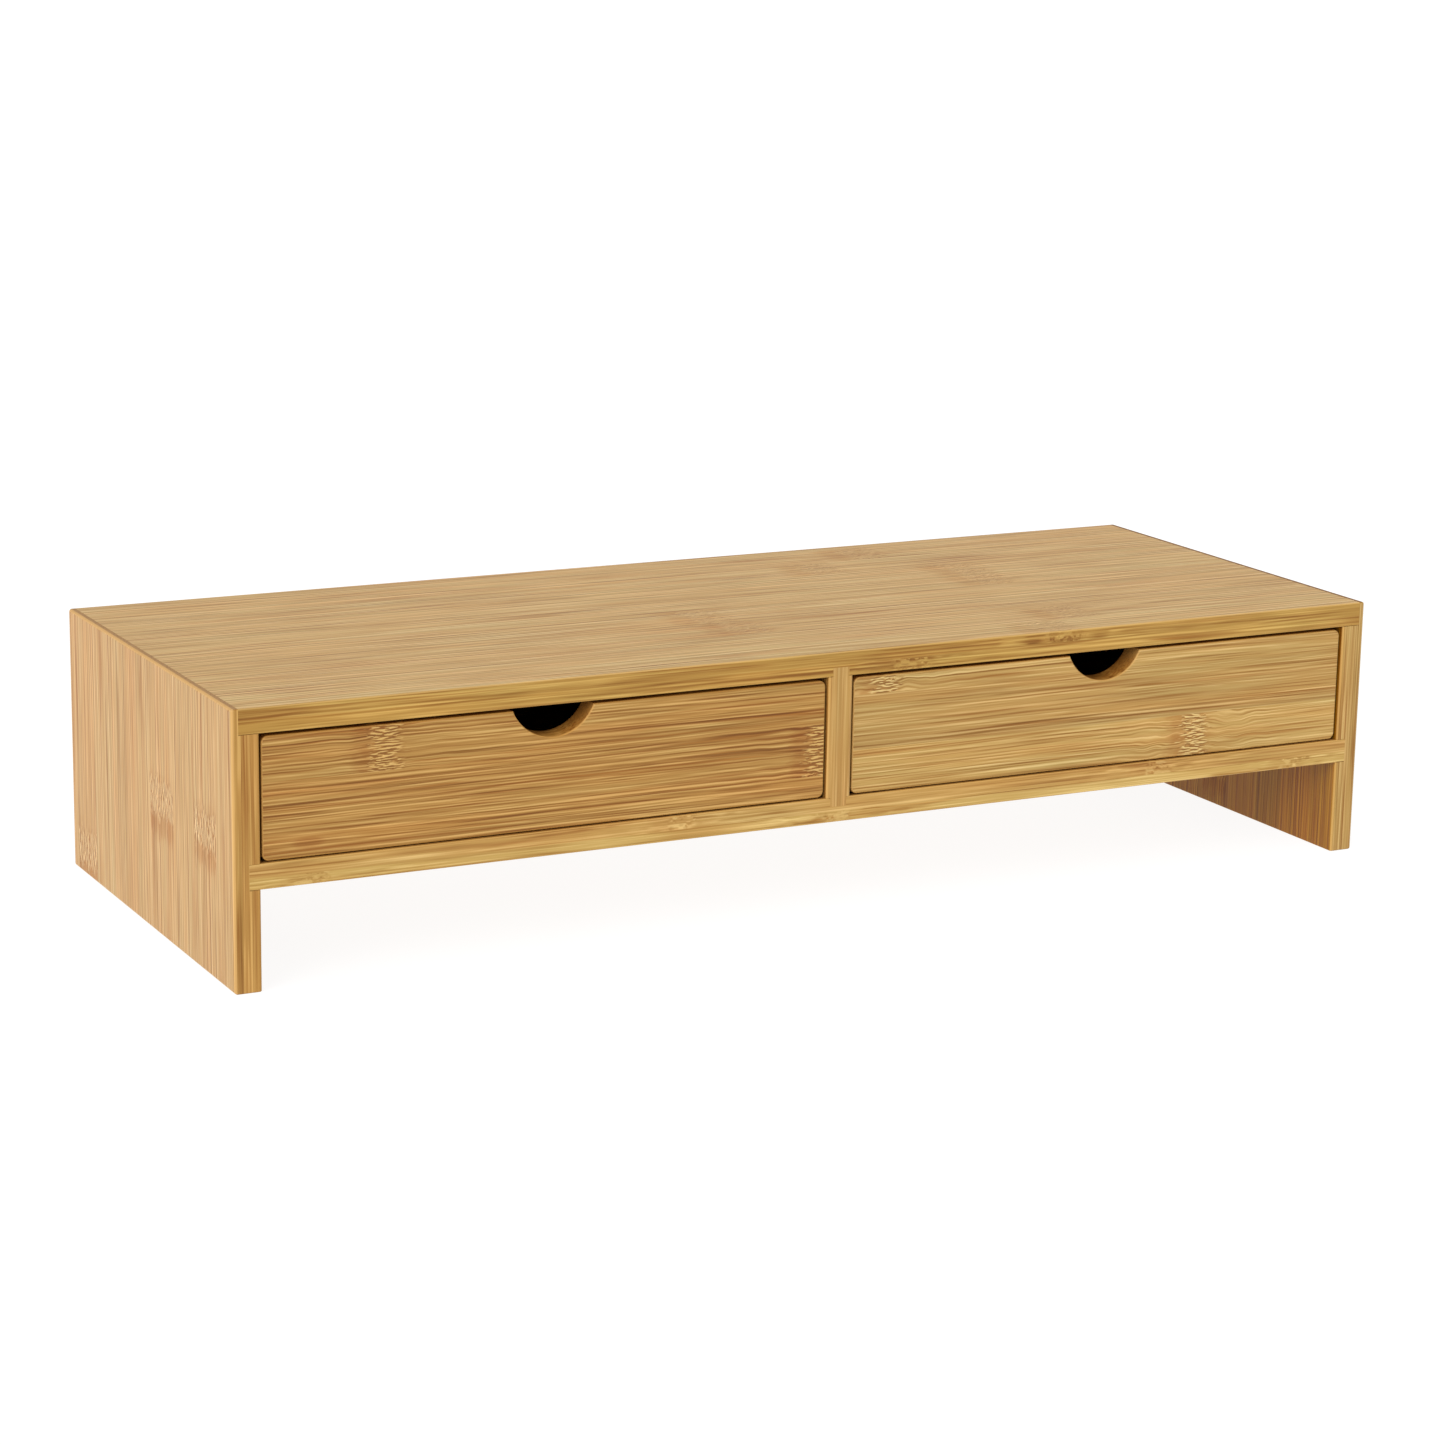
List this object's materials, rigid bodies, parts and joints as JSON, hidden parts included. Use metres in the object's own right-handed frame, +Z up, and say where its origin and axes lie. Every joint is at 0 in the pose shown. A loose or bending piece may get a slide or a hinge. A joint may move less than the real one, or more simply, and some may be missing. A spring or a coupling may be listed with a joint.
{
  "type": "monitor riser stand",
  "caption": "Low wooden desk riser: flat top on full-height side panels, a shelf with inset drawers that have half-round finger notches, and open space below.",
  "frame": {"origin": "middle of the footprint, on the surface that the legs stand on", "axes": "+X to the right seen from the front, +Y from the drawer fronts to the back, +Z up"},
  "size_m": [0.56, 0.215, 0.12],
  "materials": {
    "carcass_bamboo": "satin clear lacquer",
    "drawer_front_bamboo": "satin clear lacquer",
    "drawer_box_bamboo": "matt, fine sanded",
    "dowel_wood": "matt"
  },
  "bodies": {
    "carcass": {"top_panel": "carcass_bamboo", "shelf_panel": "carcass_bamboo", "centre_divider": "carcass_bamboo", "back_panel": "carcass_bamboo", "left_side_panel": "carcass_bamboo", "left_top_dowels": "dowel_wood", "left_shelf_dowels": "dowel_wood", "right_side_panel": "carcass_bamboo", "right_top_dowels": "dowel_wood", "right_shelf_dowels": "dowel_wood"},
    "left_drawer": {"left_drawer_front": "drawer_front_bamboo", "left_drawer_left_side": "drawer_box_bamboo", "left_drawer_right_side": "drawer_box_bamboo", "left_drawer_back": "drawer_box_bamboo", "left_drawer_bottom": "drawer_box_bamboo", "left_drawer_front_dowels": "dowel_wood", "left_drawer_back_dowels": "dowel_wood"},
    "right_drawer": {"right_drawer_front": "drawer_front_bamboo", "right_drawer_left_side": "drawer_box_bamboo", "right_drawer_right_side": "drawer_box_bamboo", "right_drawer_back": "drawer_box_bamboo", "right_drawer_bottom": "drawer_box_bamboo", "right_drawer_front_dowels": "dowel_wood", "right_drawer_back_dowels": "dowel_wood"}
  },
  "joints": [
    {"name": "left_drawer_slide", "type": "slide", "parent": "carcass", "child": "left_drawer", "axis": [0, -1, 0], "range_m": [0, 0.15]},
    {"name": "right_drawer_slide", "type": "slide", "parent": "carcass", "child": "right_drawer", "axis": [0, -1, 0], "range_m": [0, 0.15]}
  ]
}
